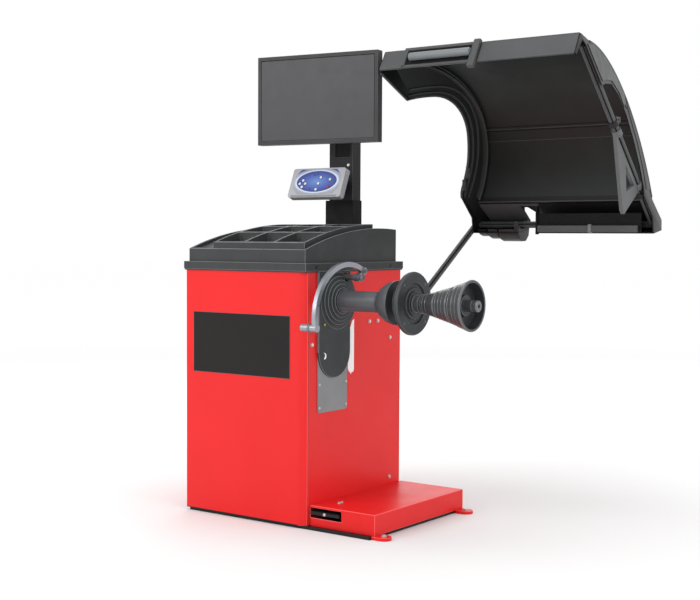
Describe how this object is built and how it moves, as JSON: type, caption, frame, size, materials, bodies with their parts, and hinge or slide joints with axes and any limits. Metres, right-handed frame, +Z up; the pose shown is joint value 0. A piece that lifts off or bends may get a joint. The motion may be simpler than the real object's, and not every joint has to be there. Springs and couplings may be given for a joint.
{
  "type": "wheel balancer machine",
  "caption": "Floor-standing wheel balancer: red cabinet with weight tray, horizontal spindle with flange and centring cones, swinging wheel hood, gauges, monitor on a post and a keypad.",
  "frame": {"origin": "on the floor at the centre of the four anchor holes", "axes": "+X along the spindle out of the cabinet's right side, +Y towards the back, +Z up"},
  "size_m": [1.346, 1.0593, 1.53],
  "materials": {
    "base_plate": "matte black",
    "anchor_ears": "gloss red",
    "platform_cover": "gloss red",
    "front_panel": "gloss red",
    "right_panel": "gloss red",
    "left_panel": "gloss red",
    "back_panel": "gloss red",
    "weight_tray": "fine grain",
    "gauge_plate": "satin",
    "spindle_dome": "satin",
    "slot_cover": "light grey satin",
    "panel_screws": "zinc",
    "storage_pegs": "satin",
    "spindle_bracket": "matte",
    "spindle_housing": "satin grey",
    "force_sensors": "satin",
    "spindle_bearings": "ground",
    "drive_motor": "matte",
    "drive_belt": "matte",
    "circuit_board": "solder mask",
    "mains_inlet": "matte",
    "gauge_guide": "turned",
    "post_sleeve": "matte black",
    "post": "satin dark grey",
    "monitor_bracket": "matte black",
    "keypad_bracket": "matte black",
    "keypad_housing": "silver",
    "keypad_overlay": "blue film",
    "hood_bracket": "matte black",
    "spindle_shaft": "turned",
    "spindle_pulley": "turned",
    "encoder_disc": "satin",
    "hub_cup": "satin grey",
    "wheel_flange": "machined dark",
    "cone_spring": "dark",
    "motor_pulley": "turned",
    "small_cone": "dark turned",
    "medium_cone": "dark turned",
    "large_cone": "dark turned",
    "gauge_rod": "satin",
    "gauge_arm": "satin",
    "gauge_tip": "satin",
    "hood_frame": "satin black",
    "hood_shell": "vacuum-formed black",
    "hood_clamps": "satin black",
    "width_gauge": "grey",
    "brake_pedal": "matte black",
    "brake_rod": "zinc",
    "monitor_housing": "fine grain",
    "monitor_screen": "anti-glare",
    "power_switch": "gloss",
    "key_up": "light",
    "key_start": "pale green",
    "key_stop": "red"
  },
  "bodies": {
    "cabinet": {"base_plate": "base_plate", "anchor_ears": "anchor_ears", "platform_cover": "platform_cover", "front_panel": "front_panel", "right_panel": "right_panel", "left_panel": "left_panel", "back_panel": "back_panel", "weight_tray": "weight_tray", "gauge_plate": "gauge_plate", "spindle_dome": "spindle_dome", "slot_cover": "slot_cover", "panel_screws": "panel_screws", "storage_pegs": "storage_pegs", "spindle_bracket": "spindle_bracket", "spindle_housing": "spindle_housing", "force_sensors": "force_sensors", "spindle_bearings": "spindle_bearings", "drive_motor": "drive_motor", "drive_belt": "drive_belt", "circuit_board": "circuit_board", "mains_inlet": "mains_inlet", "gauge_guide": "gauge_guide", "post_sleeve": "post_sleeve", "post": "post", "monitor_bracket": "monitor_bracket", "keypad_bracket": "keypad_bracket", "keypad_housing": "keypad_housing", "keypad_overlay": "keypad_overlay", "hood_bracket": "hood_bracket"},
    "spindle": {"spindle_shaft": "spindle_shaft", "spindle_pulley": "spindle_pulley", "encoder_disc": "encoder_disc", "hub_cup": "hub_cup", "wheel_flange": "wheel_flange", "cone_spring": "cone_spring"},
    "motor_rotor": {"motor_pulley": "motor_pulley"},
    "small_cone": {"small_cone": "small_cone"},
    "medium_cone": {"medium_cone": "medium_cone"},
    "large_cone": {"large_cone": "large_cone"},
    "gauge_rod": {"gauge_rod": "gauge_rod"},
    "gauge_arm": {"gauge_arm": "gauge_arm", "gauge_tip": "gauge_tip"},
    "hood": {"hood_frame": "hood_frame", "hood_shell": "hood_shell", "hood_clamps": "hood_clamps"},
    "width_gauge": {"width_gauge": "width_gauge"},
    "brake_pedal": {"brake_pedal": "brake_pedal"},
    "brake_rod": {"brake_rod": "brake_rod"},
    "monitor": {"monitor_housing": "monitor_housing", "monitor_screen": "monitor_screen"},
    "power_switch": {"power_switch": "power_switch"},
    "key_up": {"key_up": "key_up"},
    "key_down": {"key_down": "key_up"},
    "key_left": {"key_left": "key_up"},
    "key_right": {"key_right": "key_up"},
    "key_menu": {"key_menu": "key_up"},
    "key_fine": {"key_fine": "key_up"},
    "key_print": {"key_print": "key_up"},
    "key_start": {"key_start": "key_start"},
    "key_stop": {"key_stop": "key_stop"}
  },
  "joints": [
    {"name": "spindle_spin", "type": "hinge", "parent": "cabinet", "child": "spindle", "pos_m": [0, -0.12, 0.714], "axis": [1, 0, 0], "continuous": true},
    {"name": "motor_spin", "type": "hinge", "parent": "cabinet", "child": "motor_rotor", "pos_m": [0, 0.06, 0.52], "axis": [1, 0, 0], "continuous": true},
    {"name": "large_cone_slide", "type": "slide", "parent": "medium_cone", "child": "large_cone", "axis": [1, 0, 0], "range_m": [0, 0.02]},
    {"name": "medium_cone_slide", "type": "slide", "parent": "small_cone", "child": "medium_cone", "axis": [1, 0, 0], "range_m": [0, 0.02]},
    {"name": "small_cone_slide", "type": "slide", "parent": "spindle", "child": "small_cone", "axis": [1, 0, 0], "range_m": [0, 0.02]},
    {"name": "gauge_slide", "type": "slide", "parent": "cabinet", "child": "gauge_rod", "axis": [1, 0, 0], "range_m": [0, 0.2]},
    {"name": "gauge_swing", "type": "hinge", "parent": "gauge_rod", "child": "gauge_arm", "pos_m": [0.137, -0.08, 0.788], "axis": [-1, 0, 0], "range_deg": [0, 45]},
    {"name": "hood_pivot", "type": "hinge", "parent": "cabinet", "child": "hood", "pos_m": [0.117, 0.287, 0.678], "axis": [1, 0, 0], "range_deg": [0, 66]},
    {"name": "width_gauge_swing", "type": "hinge", "parent": "hood", "child": "width_gauge", "pos_m": [0.809, 0.7, 0.965], "axis": [0, 0.7209, -0.693], "range_deg": [0, 80]},
    {"name": "brake_pedal_pivot", "type": "hinge", "parent": "cabinet", "child": "brake_pedal", "pos_m": [0, -0.216, 0.046], "axis": [1, 0, 0], "range_deg": [0, 5], "stiffness_Nm_per_rad": 20, "springref_deg": -5.73},
    {"name": "brake_rod_slide", "type": "slide", "parent": "cabinet", "child": "brake_rod", "axis": [0, 0, 1], "range_m": [0, 0.0096]},
    {"name": "monitor_swivel", "type": "hinge", "parent": "cabinet", "child": "monitor", "pos_m": [-0.113, 0.084, 1.38], "axis": [0, 0, 1], "range_deg": [-8, 20]},
    {"name": "power_rocker", "type": "hinge", "parent": "cabinet", "child": "power_switch", "pos_m": [-0.284, 0.234, 0.244], "axis": [1, 0, 0], "range_deg": [-8, 8]},
    {"name": "key_up_press", "type": "slide", "parent": "cabinet", "child": "key_up", "axis": [0, 0.9272, -0.3746], "range_m": [0, 0.001], "stiffness_N_per_m": 300},
    {"name": "key_down_press", "type": "slide", "parent": "cabinet", "child": "key_down", "axis": [0, 0.9272, -0.3746], "range_m": [0, 0.001], "stiffness_N_per_m": 300},
    {"name": "key_left_press", "type": "slide", "parent": "cabinet", "child": "key_left", "axis": [0, 0.9272, -0.3746], "range_m": [0, 0.001], "stiffness_N_per_m": 300},
    {"name": "key_right_press", "type": "slide", "parent": "cabinet", "child": "key_right", "axis": [0, 0.9272, -0.3746], "range_m": [0, 0.001], "stiffness_N_per_m": 300},
    {"name": "key_menu_press", "type": "slide", "parent": "cabinet", "child": "key_menu", "axis": [0, 0.9272, -0.3746], "range_m": [0, 0.001], "stiffness_N_per_m": 300},
    {"name": "key_fine_press", "type": "slide", "parent": "cabinet", "child": "key_fine", "axis": [0, 0.9272, -0.3746], "range_m": [0, 0.001], "stiffness_N_per_m": 300},
    {"name": "key_print_press", "type": "slide", "parent": "cabinet", "child": "key_print", "axis": [0, 0.9272, -0.3746], "range_m": [0, 0.001], "stiffness_N_per_m": 300},
    {"name": "key_start_press", "type": "slide", "parent": "cabinet", "child": "key_start", "axis": [0, 0.9272, -0.3746], "range_m": [0, 0.001], "stiffness_N_per_m": 300},
    {"name": "key_stop_press", "type": "slide", "parent": "cabinet", "child": "key_stop", "axis": [0, 0.9272, -0.3746], "range_m": [0, 0.001], "stiffness_N_per_m": 300}
  ],
  "couplings": [
    {"joint": "motor_spin", "follows": "spindle_spin", "ratio": 3},
    {"joint": "brake_rod_slide", "follows": "brake_pedal_pivot", "m_per_rad": 0.108}
  ]
}
